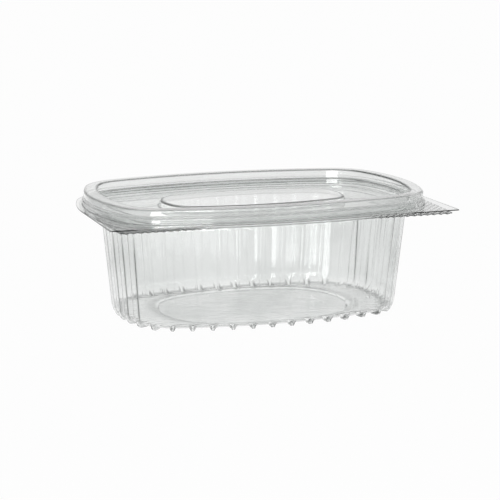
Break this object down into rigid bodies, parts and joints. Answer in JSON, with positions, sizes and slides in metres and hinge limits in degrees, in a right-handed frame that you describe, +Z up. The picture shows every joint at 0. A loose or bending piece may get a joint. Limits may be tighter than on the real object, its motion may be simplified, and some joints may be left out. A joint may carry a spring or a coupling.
{
  "type": "salad container",
  "caption": "Clear hinged salad container with a fluted tub on small feet and a lid with a raised rim, stepped recess and corner opening tabs.",
  "frame": {"origin": "centre of the shut container's outline, on the plane its feet rest on", "axes": "+X along the long side, +Y to the hinge at the back, +Z up"},
  "size_m": [0.157, 0.1078, 0.0552],
  "materials": {
    "clear_tub": "clear thermoformed sheet",
    "clear_lid": "clear thermoformed sheet"
  },
  "bodies": {
    "tub": {"tub": "clear_tub"},
    "lid": {"lid": "clear_lid"}
  },
  "joints": [
    {"name": "lid_hinge", "type": "hinge", "parent": "tub", "child": "lid", "pos_m": [0, 0.0541, 0.04797], "axis": [-1, 0, 0], "range_deg": [0, 180]}
  ]
}
